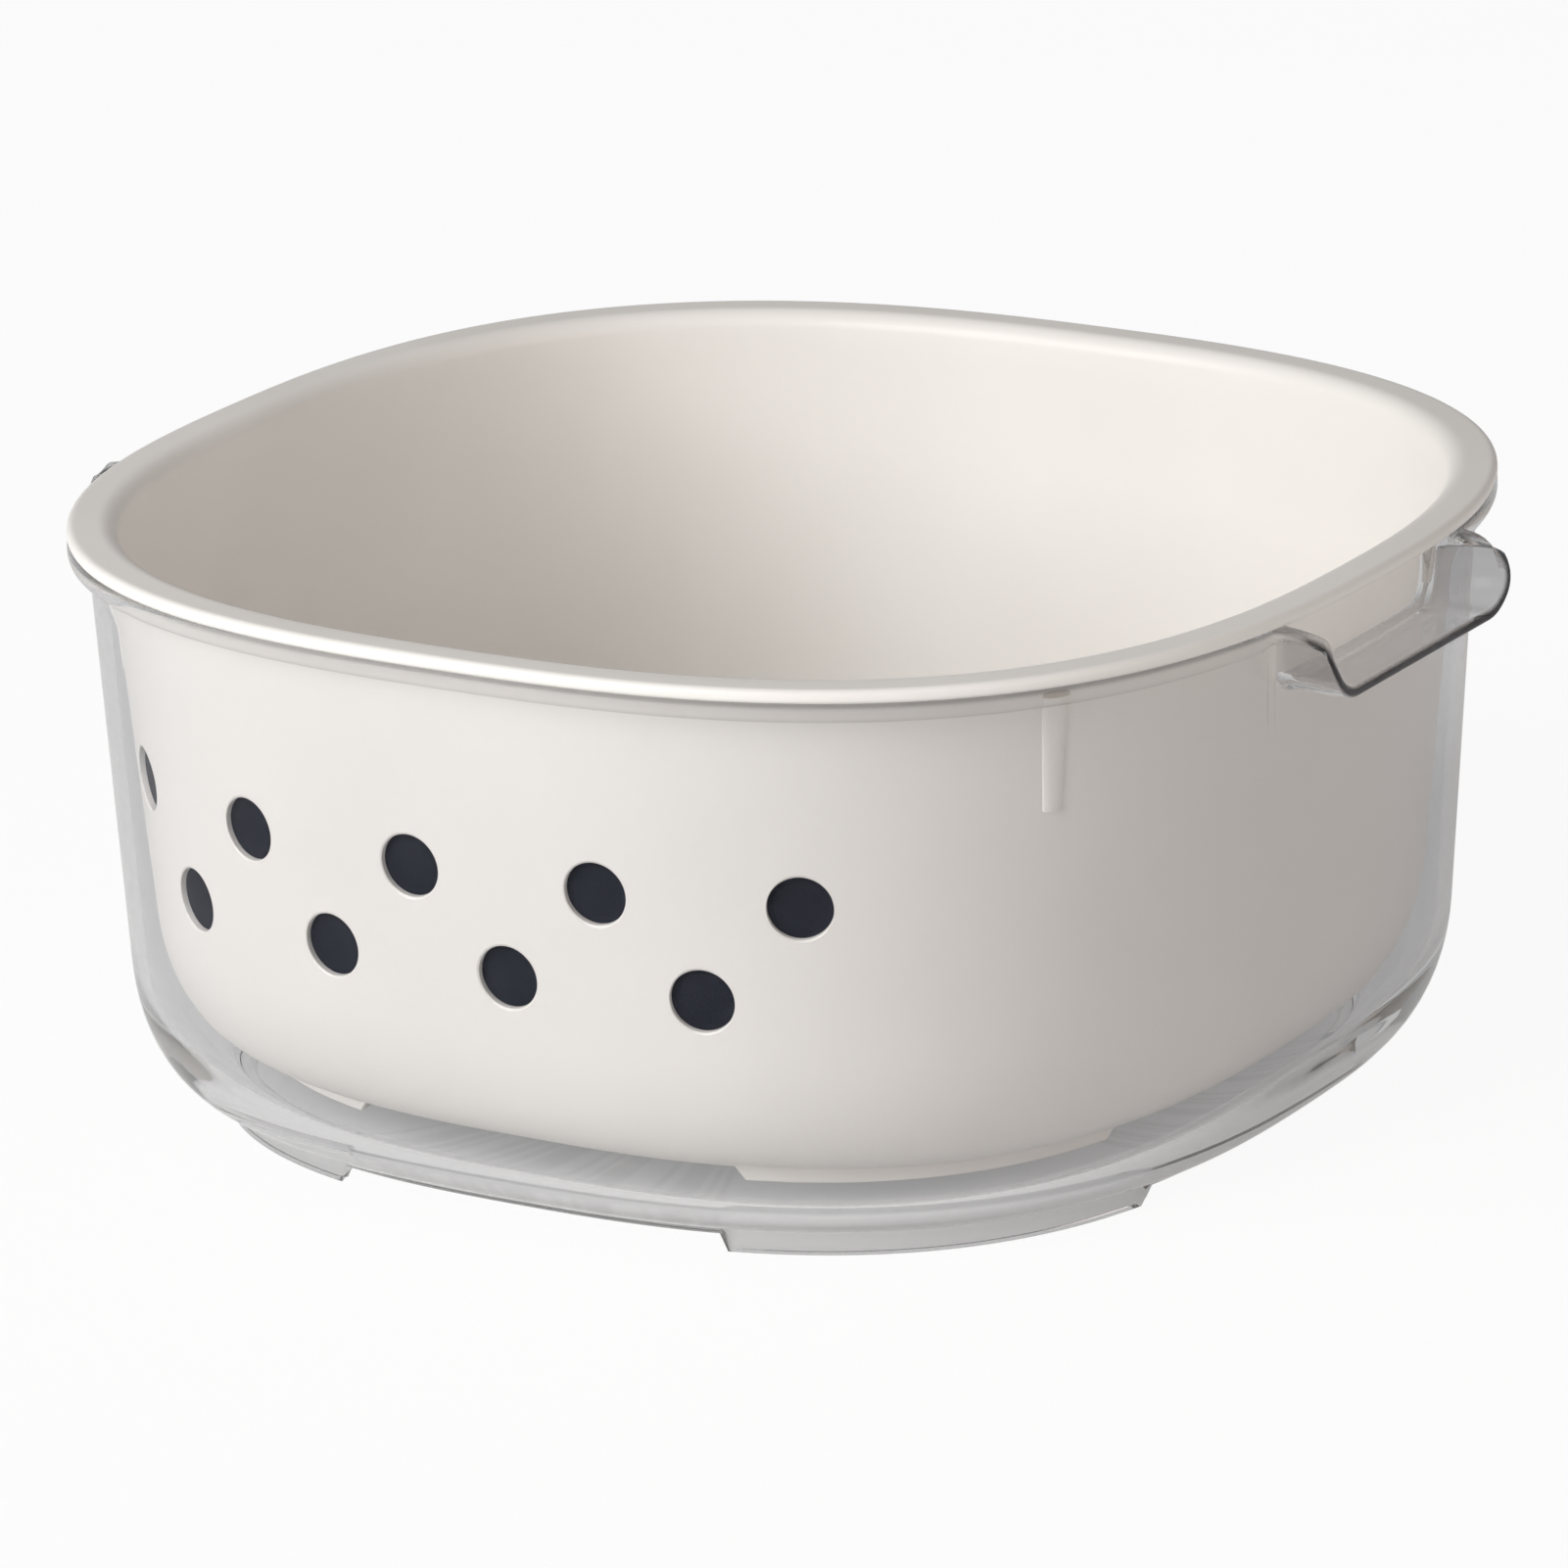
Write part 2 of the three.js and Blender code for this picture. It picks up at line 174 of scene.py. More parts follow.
# Cream plastic: cloudy colour, patches of gloss and a fine grain, each with the scale of its noise
CREAM_COLOURS = ((0.81, 0.78, 0.74), (0.845, 0.815, 0.78))
CREAM_CLOUDS = 18
CREAM_ROUGHNESS = (0.30, 0.38)
CREAM_PATCHES = 40
CREAM_GRAIN = 900
CREAM_GRAIN_DETAIL = 3
CREAM_GRAIN_STRENGTH = 0.05
CREAM_GRAIN_DEPTH = 0.2 * MM
CREAM_IOR = 1.5
CREAM_SPECULAR = 0.3

# Painted shade in the drain holes: colour and finish of the dark discs
SHADE_COLOURS = ((0.012, 0.014, 0.022), (0.020, 0.022, 0.032))
SHADE_CLOUDS = 120
SHADE_ROUGHNESS = (0.8, 0.9)
SHADE_PATCHES = 60
SHADE_SPECULAR = 0.1

# Clear plastic: light for other pieces goes straight through it, as does light after a few bounces
CLEAR_COLOURS = ((0.855, 0.855, 0.865), (0.88, 0.88, 0.885))
# Near-black colour of the painted shade along the clear plastic's edges and foot
CLEAR_PAINTED_SHADE_COLOUR = (0.012, 0.012, 0.015, 1)
CLEAR_STRAIGHT_COLOUR = (0.95, 0.95, 0.95, 1)
CLEAR_CLOUDS = 6
CLEAR_ROUGHNESS = (0.004, 0.01)
CLEAR_PATCHES = 60
CLEAR_FLOW = 14
CLEAR_FLOW_STRENGTH = 0.12
CLEAR_FLOW_DEPTH = 1.0 * MM
CLEAR_IOR = 1.15
BOUNCES_KEPT = 4.5

# Sockets of a Mix node that mixes colours
MIX_SHARE = 0
MIX_FIRST = 6
MIX_SECOND = 7
MIX_RESULT = 2

# Floor, and the share of it that glows white, for the camera and as seen in and through the clear bowl
FLOOR_SIZE = 6
FLOOR_COLOUR = (0.82, 0.82, 0.82, 1)
FLOOR_ROUGHNESS = 0.8
GLOW_SEEN = 0.93
GLOW_THROUGH = 0.29

# Sky light at the horizon and from above, and how far up, as a share of 1, the change between them ends
SKY_COLOUR = (1, 1, 1, 1)
SKY_HORIZON = 0.42
SKY_TOP = 0.18
SKY_CHANGE_END = 0.7

# Lamps, in metres and watts
LAMP_AIM = (0, 0, 0.05)
KEY_PLACE = (-0.7, -1.8, 1.1)
KEY_SIZE = (1.6, 1.6)
KEY_POWER = 50
KEY_COLOUR = (1, 1, 1)
FILL_PLACE = (1.9, 0.2, 0.7)
FILL_SIZE = (1.6, 1.2)
FILL_POWER = 9
FILL_COLOUR = (1, 0.89, 0.83)

# Camera: found by fitting the rim, the feet and the outline of the photograph
PHOTO_SIDE = 1601
SENSOR = 36.0
LENS_PIXELS = 10623.3
CAMERA_AZIMUTH = math.radians(30.627)
CAMERA_ELEVATION = math.radians(17.574)
CAMERA_ROLL = math.radians(-1.276)
CAMERA_DISTANCE = 1885.96 * MM
CAMERA_ASIDE = -1.531 * MM
CAMERA_TARGET_HEIGHT = HEIGHT - 56.805 * MM
CAMERA_NEAREST = 0.01
CAMERA_FARTHEST = 100

# Heights and slopes that follow from these sizes
bowl_rim_top = HEIGHT - BASKET_RIM_DEPTH - REST_GAP
bowl_rim_under = bowl_rim_top - BOWL_RIM_THICK
bowl_lean = (BOWL_TOP_HALF - BOWL_LOW_HALF) / (bowl_rim_under - FOOT_HEIGHT - BOWL_BEND)
basket_under = BASKET_FOOT_BOTTOM + BASKET_FOOT
basket_floor_top = basket_under + BASKET_WALL
basket_rim_under = HEIGHT - BASKET_RIM_DEPTH
basket_bend_height = basket_under + BASKET_BEND
basket_lean = (BASKET_TOP_HALF - BASKET_LOW_HALF) / (basket_rim_under - basket_bend_height)
basket_foot_half = BASKET_LOW_HALF - BASKET_BEND + BASKET_FOOT_OUT


# Rounded square plan
def plan_reach(angle):
    """Distance from the axis to the rounded square's edge, for a half width of 1."""
    x = abs(math.cos(angle)) ** PLAN_POWER
    y = abs(math.sin(angle)) ** PLAN_POWER
    return (x + y) ** (-1 / PLAN_POWER)


def plan_normal(angle):
    """Direction square to the rounded square's edge."""
    def slope(v):
        return math.copysign(abs(v) ** (PLAN_POWER - 1), v)
    return Vector((slope(math.cos(angle)), slope(math.sin(angle)), 0)).normalized()


def plan_walk(half, length):
    """Angle reached by walking along the edge from the middle of the -Y side."""
    step = math.copysign(WALK_STEP, length)
    angle = -math.pi / 2
    gone = 0.0
    while gone < abs(length):
        reach = plan_reach(angle) * half
        turn = (plan_reach(angle + step) * half - reach) / step
        gone += math.hypot(reach, turn) * abs(step)
        angle += step
    return angle


def smooth_between(value, low, high):
    """0 up to the low value, 1 from the high one on, and a smooth rise between them."""
    t = min(1.0, max(0.0, (value - low) / (high - low)))
    return t * t * (3 - 2 * t)


def mix(a, b, t):
    """A value between two, at a share of the way."""
    return a + (b - a) * t


# Shapes that both mouldings use
def new_object(name, bm):
    """An object in the scene with the shape of a bmesh."""
    mesh = bpy.data.meshes.new(name)
    bm.to_mesh(mesh)
    bm.free()
    piece = bpy.data.objects.new(name, mesh)
    bpy.context.scene.collection.objects.link(piece)
    return piece


def smooth_shaded(piece):
    """Shades a piece smooth, apart from its sharp edges."""
    piece.data.shade_smooth()
    piece.data.set_sharp_from_angle(angle=SHARP_ANGLE)


def rounded_profile(bm, corners):
    """A wire through corners of half width, height and rounding, each corner rounded by a vertex bevel."""
    wire = [bm.verts.new((half, 0, height)) for half, height, _ in corners]
    for a, b in zip(wire, wire[1:]):
        bm.edges.new((a, b))
    for vert, (_, _, (rounding, segments)) in zip(wire, corners):
        if rounding:
            bmesh.ops.bevel(
                bm, geom=[vert], affect="VERTICES", offset=rounding, offset_type="OFFSET",
                segments=segments, profile=0.5, material=-1, clamp_overlap=False,
            )


def in_rows(bm):
    """Divides the tall edges of a profile, and the top and underside of its rim, into rows of faces."""
    tall = [e for e in bm.edges if abs(e.verts[0].co.z - e.verts[1].co.z) > TALL_EDGE]
    bmesh.ops.subdivide_edges(bm, edges=tall, cuts=WALL_ROWS)
    rim_edges = [e for e in bm.edges if min(v.co.z for v in e.verts) > bowl_rim_under - RIM_MARGIN]
    long_ones = [e for e in rim_edges if e.calc_length() > LONG_RIM_EDGE]
    bmesh.ops.subdivide_edges(bm, edges=long_ones, cuts=RIM_ROWS)


def spin_round(bm, steps):
    """Spins a profile once about Z, merges its seam and turns its faces outwards."""
    bmesh.ops.spin(
        bm, geom=bm.verts[:] + bm.edges[:], cent=(0, 0, 0), axis=(0, 0, 1),
        angle=2 * math.pi, steps=steps, use_merge=True,
    )
    bmesh.ops.remove_doubles(bm, verts=bm.verts[:], dist=SEAM_GAP)
    bmesh.ops.recalc_face_normals(bm, faces=bm.faces[:])


def even_columns(turn):
    """Leaves columns where the spin put them."""
    return turn


def crowded_columns(turn):
    """Draws columns together at the ends of the handle scoops."""
    middle = math.pi * round(turn / math.pi)
    away = turn - middle
    share = abs(away) / (math.pi / 2)
    for i, end in enumerate(COLUMN_SHARES[1:]):
        if share <= end:
            part = (share - COLUMN_SHARES[i]) / (end - COLUMN_SHARES[i])
            degrees = mix(COLUMN_ANGLES[i], COLUMN_ANGLES[i + 1], part)
            return middle + math.copysign(math.radians(degrees), away)
    return turn


def spun_square(corners, columns, column_angle, shape):
    """Spins a profile about Z, gives it the rounded square plan, then shapes each point and stores its
    painted shade.
    """
    bm = bmesh.new()
    rounded_profile(bm, corners)
    in_rows(bm)
    spin_round(bm, columns)
    painted_edge_shade = bm.verts.layers.float.new(PAINTED_SHADE_ATTRIBUTE)
    for vert in bm.verts:
        half = math.hypot(vert.co.x, vert.co.y)
        turn = math.atan2(vert.co.y, vert.co.x)
        angle = column_angle(turn)
        reach = half * plan_reach(angle)
        vert.co = Vector((reach * math.cos(angle), reach * math.sin(angle), vert.co.z))
        vert[painted_edge_shade] = shape(vert, half, angle)
    bmesh.ops.remove_doubles(bm, verts=bm.verts[:], dist=OPENED_GAP)
    return bm


def open_foot(vert, under):
    """Takes the foot ring away in the middle of each side."""
    if vert.co.z > under - OPENED_GAP:
        return
    near = min(abs(vert.co.x), abs(vert.co.y))
    keep = smooth_between(near, FOOT_GAP_HALF - FOOT_END, FOOT_GAP_HALF)
    vert.co.z = mix(under, vert.co.z, keep)


# Making of the outer bowl
def scoop_path(along, cheek):
    """How far a rim point moves along the side, how far it drops and how far its section tilts."""
    start = cheek + SCOOP_TURN
    corner = cheek - SCOOP_FLAT
    upright = SCOOP_DROP - SCOOP_TURN - corner
    turn_length = math.pi / 2 * SCOOP_TURN
    corner_length = math.pi / 2 * corner
    base = min(max(along, SCOOP_FLAT), start)
    gone = (start - base) / (start - SCOOP_FLAT) * (turn_length + upright + corner_length)
    if gone < turn_length:
        tilt = gone / SCOOP_TURN
        return start - SCOOP_TURN * math.sin(tilt) - base, SCOOP_TURN * (1 - math.cos(tilt)), tilt
    if gone < turn_length + upright:
        return cheek - base, SCOOP_TURN + gone - turn_length, math.pi / 2
    tilt = max(0.0, math.pi / 2 - (gone - turn_length - upright) / corner)
    return (SCOOP_FLAT + corner * math.sin(tilt) - base,
            SCOOP_DROP - corner * (1 - math.cos(tilt)), tilt)


def press_scoop(vert, half, angle):
    """Leads the rim and the top of the wall round a handle scoop and its lip, and gives the tilt."""
    deep = bowl_rim_top - vert.co.z
    if abs(math.cos(angle)) < abs(math.sin(angle)) or deep > SCOOP_FADE:
        return 0.0
    along = RIM_HALF * plan_reach(angle) * abs(math.sin(angle))
    out = min(1.0, max(0.0, (half - BOWL_TOP_HALF) / (RIM_HALF - BOWL_TOP_HALF)))
    cheek = mix(ROOT_HALF, LIP_HALF, out)
    shift, drop, tilt = scoop_path(along, cheek)
    start = cheek + SCOOP_TURN
    thinning = 1 - smooth_between(along, start, start + SCOOP_THINNING)
    thick = min(deep, BOWL_RIM_THICK)
    thin = thick * mix(1, SCOOP_SHEET / BOWL_RIM_THICK, thinning)
    keep = 1 - smooth_between(deep, BOWL_RIM_THICK, SCOOP_FADE)
    lowered = keep * (drop + thin * math.cos(tilt) - thick)
    y = abs(vert.co.y) + keep * (shift + thin * math.sin(tilt))
    wall_x = ((half - bowl_lean * lowered) ** PLAN_POWER - y ** PLAN_POWER) ** (1 / PLAN_POWER)
    vert.co.x = math.copysign(lip_reach(half, angle, along, wall_x), vert.co.x)
    vert.co.y = math.copysign(y, vert.co.y)
    vert.co.z -= lowered
    return tilt


def lip_reach(half, angle, along, wall_x):
    """Distance from the middle plane of a point of the wall, or of the rim pulled out into the lip."""
    drop = scoop_path(along, LIP_HALF)[1]
    if half <= BOWL_TOP_HALF or drop == 0:
        return wall_x
    pulled = smooth_between(drop, 0, SCOOP_TURN)
    rim_x = RIM_HALF * plan_reach(angle) * abs(math.cos(angle))
    root_x = BOWL_TOP_HALF * plan_reach(angle) * abs(math.cos(angle)) - bowl_lean * drop
    reach = math.sqrt(SCOOP_REACH ** 2 - max(0.0, SCOOP_REACH - drop) ** 2)
    edge_x = mix(rim_x, RIM_HALF, pulled) + reach
    if half > RIM_HALF - LIP_EDGE:
        return edge_x - (RIM_HALF - half)
    return mix(root_x, edge_x - LIP_EDGE, (half - BOWL_TOP_HALF) / (RIM_HALF - LIP_EDGE - BOWL_TOP_HALF))


def shape_bowl(vert, half, angle):
    """Opens the foot ring, presses the handle scoops into the rim, and paints shade on the foot, rim, lip
    edge and scoop ends.
    """
    # Painted shade on the lower part of the foot ring
    foot = FOOT_PAINTED_SHADE if vert.co.z < FOOT_HEIGHT / 2 else 0.0
    open_foot(vert, FOOT_HEIGHT)
    before = vert.co.z
    tilt = press_scoop(vert, half, angle)
    if half < BOWL_TOP_HALF:
        return foot
    # Painted shadow on the rim's top, and painted shade on its underside roll, the lip's edge and the
    # scoop ends
    lip = smooth_between(before - vert.co.z, 0, LIP_START)
    edge = smooth_between(half, RIM_HALF - PAINTED_EDGE_WIDTH, RIM_HALF)
    top = smooth_between(before, bowl_rim_top - PAINTED_EDGE_WIDTH, bowl_rim_top)
    roll = 1 - smooth_between(before, bowl_rim_under, bowl_rim_under + BOWL_RIM_ROLL)
    rim = max(RIM_PAINTED_SHADOW * top, ROLL_PAINTED_SHADE * roll)
    return max(rim * (1 - lip), LIP_PAINTED_SHADE * edge * lip, SCOOP_END_PAINTED_SHADE * math.sin(tilt))


def make_bowl():
    """The clear bowl: its profile from the middle of the underside to the middle of the floor, spun."""
    floor_top = FOOT_HEIGHT + BOWL_WALL
    foot_inner = FOOT_HALF - FOOT_THICK
    low_half = BOWL_LOW_HALF - bowl_lean * BOWL_BEND
    corners = [
        (0, FOOT_HEIGHT, SHARP),
        (foot_inner, FOOT_HEIGHT, SHARP),
        (foot_inner, 0, FOOT_INSIDE),
        (FOOT_HALF, 0, FOOT_OUTSIDE),
        (FOOT_HALF, FOOT_HEIGHT + FOOT_STEP, SHARP),
        (low_half, FOOT_HEIGHT, (BOWL_BEND, BEND_SEGMENTS)),
        (BOWL_TOP_HALF, bowl_rim_under, BOWL_NECK),
        (RIM_HALF, bowl_rim_under, BOWL_RIM_UNDER),
        (RIM_HALF, bowl_rim_top, BOWL_RIM_EDGE),
        (BOWL_TOP_HALF - BOWL_WALL, bowl_rim_top, BOWL_RIM_INSIDE),
        (low_half - BOWL_WALL, floor_top, (BOWL_BEND - BOWL_WALL, BEND_SEGMENTS)),
        (0, floor_top, SHARP),
    ]
    shell = spun_square(corners, BOWL_COLUMNS, crowded_columns, shape_bowl)
    piece = new_object("clear_outer_bowl", shell)
    smooth_shaded(piece)
    return piece


bowl = make_bowl()
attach(bowl, "bowl")
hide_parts("outer_bowl")


# Making of the drain basket
def basket_half_at(height):
    """Half width of the basket's outer face at a height."""
    return BASKET_LOW_HALF + basket_lean * (height - basket_bend_height)


def across_wall(bm, angle, height):
    """Sets a shape on the basket's outer face, with its own X axis square to the wall, outwards."""
    reach = basket_half_at(height) * plan_reach(angle)
    normal = plan_normal(angle)
    place = (
        Matrix.Translation((reach * math.cos(angle), reach * math.sin(angle), height))
        @ Matrix.Rotation(math.atan2(normal.y, normal.x), 4, "Z")
        @ Matrix.Rotation(math.atan(basket_lean), 4, "Y")
    )
    bmesh.ops.transform(bm, matrix=place, verts=bm.verts[:])
    return bm


def hole_cutter(radius):
    """A spool along Z: straight through the wall, flared where the hole's edges are rounded."""
    bm = bmesh.new()
    flare = radius + SPOOL_FLARE
    corners = [
        (0, -SPOOL_INWARD, SHARP),
        (flare, -SPOOL_INWARD, SHARP),
        (flare, -BASKET_WALL - SPOOL_PAST, SHARP),
        (radius, -BASKET_WALL + HOLE_ROUND, SPOOL_EDGE),
        (radius, -HOLE_ROUND, SPOOL_EDGE),
        (flare, SPOOL_PAST, SHARP),
        (flare, SPOOL_OUTWARD, SHARP),
        (0, SPOOL_OUTWARD, SHARP),
    ]
    rounded_profile(bm, corners)
    spin_round(bm, HOLE_SIDES)
    return bm


def lie_along_x(bm):
    """Lays a shape made along Z down along X."""
    bmesh.ops.rotate(bm, cent=(0, 0, 0), matrix=Matrix.Rotation(math.pi / 2, 3, "Y"), verts=bm.verts[:])
    return bm


def side_hole_places():
    """Angle and height of each drain hole of the zigzag."""
    for i in range(SIDE_HOLES):
        height = SIDE_HOLE_HEIGHTS[i % 2]
        along = SIDE_HOLE_SHIFT + (i - (SIDE_HOLES - 1) / 2) * SIDE_HOLE_STEP
        yield plan_walk(basket_half_at(height), along), height


def floor_hole_places():
    """Place of each drain hole of the floor: one in the middle, then rings of them."""
    for ring in range(FLOOR_RINGS + 1):
        count = max(1, ring * FLOOR_HOLES_PER_RING)
        reach = ring * FLOOR_HOLE_STEP
        for i in range(count):
            angle = 2 * math.pi * i / count
            yield reach * math.cos(angle), reach * math.sin(angle)


def joined(name, shapes):
    """One object holding several closed shapes."""
    whole = bmesh.new()
    for bm in shapes:
        mesh = bpy.data.meshes.new(name)
        bm.to_mesh(mesh)
        bm.free()
        whole.from_mesh(mesh)
        bpy.data.meshes.remove(mesh)
    return new_object(name, whole)


def boolean(piece, tool, operation):
    """Joins or cuts a piece with another object, then removes that object."""
    modifier = piece.modifiers.new(operation.lower(), "BOOLEAN")
    modifier.operation = operation
    modifier.object = tool
    modifier.solver = "EXACT"
    graph = bpy.context.evaluated_depsgraph_get()
    made = bpy.data.meshes.new_from_object(piece.evaluated_get(graph))
    piece.modifiers.clear()
    piece.data = made
    bpy.data.objects.remove(tool)


def rib(angle):
    """A short half-round ridge standing a little proud of the wall, lower towards its lower end."""
    bm = bmesh.new()
    bmesh.ops.create_cone(
        bm, cap_ends=True, segments=RIB_SIDES, radius1=RIB_TAPER, radius2=1, depth=RIB_TOP - RIB_END,
    )
    bmesh.ops.scale(bm, vec=(RIB_PROUD, RIB_WIDTH / 2, 1), verts=bm.verts[:])
    return across_wall(bm, angle, (RIB_TOP + RIB_END) / 2)


def hole_cutters():
    """The spools of all the drain holes."""
    for angle, height in side_hole_places():
        yield across_wall(lie_along_x(hole_cutter(HOLE_RADIUS)), angle, height)
    for x, y in floor_hole_places():
        cutter = hole_cutter(FLOOR_HOLE_RADIUS)
        bmesh.ops.translate(cutter, vec=(x, y, basket_floor_top), verts=cutter.verts[:])
        yield cutter


def shape_basket(vert, half, angle):
    """Opens the foot ring. The basket gets no painted shade."""
    open_foot(vert, basket_under)
    return 0.0


def make_basket():
    """The cream basket: its profile spun, its ribs joined on and its drain holes cut."""
    foot_inner = basket_foot_half - FOOT_THICK
    flare = RIM_HALF - BASKET_RIM_BAND - (BASKET_TOP_HALF - BASKET_WALL)
    low_half = BASKET_LOW_HALF - basket_lean * BASKET_BEND
    corners = [
        (0, basket_under, SHARP),
        (foot_inner, basket_under, SHARP),
        (foot_inner, BASKET_FOOT_BOTTOM, FOOT_INSIDE),
        (basket_foot_half, BASKET_FOOT_BOTTOM, FOOT_OUTSIDE),
        (basket_foot_half, basket_under + BASKET_FOOT_STEP, SHARP),
        (low_half, basket_under, (BASKET_BEND, BEND_SEGMENTS)),
        (BASKET_TOP_HALF, basket_rim_under, BASKET_NECK),
        (RIM_HALF, basket_rim_under, BASKET_RIM_UNDER),
        (RIM_HALF, HEIGHT, BASKET_RIM_EDGE),
        (BASKET_TOP_HALF - BASKET_WALL, HEIGHT, (flare, FLARE_SEGMENTS)),
        (low_half - BASKET_WALL, basket_floor_top, (BASKET_BEND - BASKET_WALL, BEND_SEGMENTS)),
        (0, basket_floor_top, SHARP),
    ]
    shell = spun_square(corners, BASKET_COLUMNS, even_columns, shape_basket)
    piece = new_object("cream_drain_basket", shell)
    ribs = [rib(a) for a in (RIB_ANGLE, -RIB_ANGLE, math.pi - RIB_ANGLE, math.pi + RIB_ANGLE)]
    boolean(piece, joined("ribs", ribs), "UNION")
    boolean(piece, joined("hole_cutters", hole_cutters()), "DIFFERENCE")
    smooth_shaded(piece)
    return piece


basket = make_basket()
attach(basket, "basket")
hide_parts("drain_basket")


# Making of the painted shade in the side holes: dark discs that plug them
def make_hole_shades():
    """Dark dished discs, each deep in a drain hole of the side as painted shade that plugs it."""
    discs = []
    for angle, height in side_hole_places():
        bm = bmesh.new()
        bmesh.ops.create_cone(
            bm, cap_ends=True, segments=HOLE_SIDES,
            radius1=HOLE_RADIUS, radius2=HOLE_RADIUS, depth=SHADE_THICK,
        )
        front = max(bm.faces, key=lambda face: face.calc_center_median().z)
        bmesh.ops.inset_region(bm, faces=[front], thickness=SHADE_BORDER, depth=-SHADE_DISH)
        bmesh.ops.translate(bm, vec=(0, 0, -SHADE_DEPTH), verts=bm.verts[:])
        discs.append(across_wall(lie_along_x(bm), angle, height))
    return joined("drain_hole_shades", discs)


hole_shades = make_hole_shades()
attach(hole_shades, "basket")


# Materials
def material(name):
    """A new material with its node tree and its main shader."""
    made = bpy.data.materials.new(name)
    made.use_nodes = True
    tree = made.node_tree
    return made, tree, tree.nodes["Principled BSDF"]


def noise(tree, scale, detail=NOISE_DETAIL):
    """Soft noise that keeps its place on the piece."""
    place = tree.nodes.new("ShaderNodeTexCoord")
    texture = tree.nodes.new("ShaderNodeTexNoise")
    texture.inputs["Scale"].default_value = scale
    texture.inputs["Detail"].default_value = detail
    tree.links.new(place.outputs["Object"], texture.inputs["Vector"])
    return texture.outputs["Fac"]


def clouds(tree, scale, colours):
    """Soft clouds from one colour to another."""
    made = tree.nodes.new("ShaderNodeValToRGB")
    for stop, position, colour in zip(made.color_ramp.elements, RAMP_STOPS, colours):
        stop.position = position
        stop.color = (*colour, 1)
    tree.links.new(noise(tree, scale), made.inputs["Fac"])
    return made.outputs["Color"]


def patches(tree, scale, levels):
    """Soft patches from one level of roughness to another."""
    return clouds(tree, scale, [(level, level, level) for level in levels])


def bump(tree, height, strength, depth):
    """A surface raised and sunk a little by a noise."""
    made = tree.nodes.new("ShaderNodeBump")
    made.inputs["Strength"].default_value = strength
    made.inputs["Distance"].default_value = depth
    tree.links.new(height, made.inputs["Height"])
    return made.outputs["Normal"]


def worked_out(tree, operation, *values):
    """A math node on values that are sockets or plain numbers."""
    made = tree.nodes.new("ShaderNodeMath")
    made.operation = operation
    for socket, value in zip(made.inputs, values):
        if isinstance(value, bpy.types.NodeSocket):
            tree.links.new(value, socket)
        else:
            socket.default_value = value
    return made.outputs["Value"]


def mix_on_surface(tree, share, first, second):
    """Gives the material's surface a mix of two shaders, with a share of the second one."""
    chosen = tree.nodes.new("ShaderNodeMixShader")
    for socket, source in zip(chosen.inputs, (share, first, second)):
        tree.links.new(source, socket)
    tree.links.new(chosen.outputs["Shader"], tree.nodes["Material Output"].inputs["Surface"])


def cream_plastic():
    """Opaque moulded plastic: faint cloudiness in the colour, and a fine moulded skin."""
    made, tree, surface = material("cream_moulded_plastic")
    tree.links.new(clouds(tree, CREAM_CLOUDS, CREAM_COLOURS), surface.inputs["Base Color"])
    tree.links.new(patches(tree, CREAM_PATCHES, CREAM_ROUGHNESS), surface.inputs["Roughness"])
    grain = noise(tree, CREAM_GRAIN, CREAM_GRAIN_DETAIL)
    skin = bump(tree, grain, CREAM_GRAIN_STRENGTH, CREAM_GRAIN_DEPTH)
    tree.links.new(skin, surface.inputs["Normal"])
    surface.inputs["IOR"].default_value = CREAM_IOR
    surface.inputs["Specular IOR Level"].default_value = CREAM_SPECULAR
    return made


def hole_shade():
    """Painted shade for a drain hole: nearly black, cloudy and dull."""
    made, tree, surface = material("drain_hole_shade")
    tree.links.new(clouds(tree, SHADE_CLOUDS, SHADE_COLOURS), surface.inputs["Base Color"])
    tree.links.new(patches(tree, SHADE_PATCHES, SHADE_ROUGHNESS), surface.inputs["Roughness"])
    surface.inputs["Specular IOR Level"].default_value = SHADE_SPECULAR
    return made


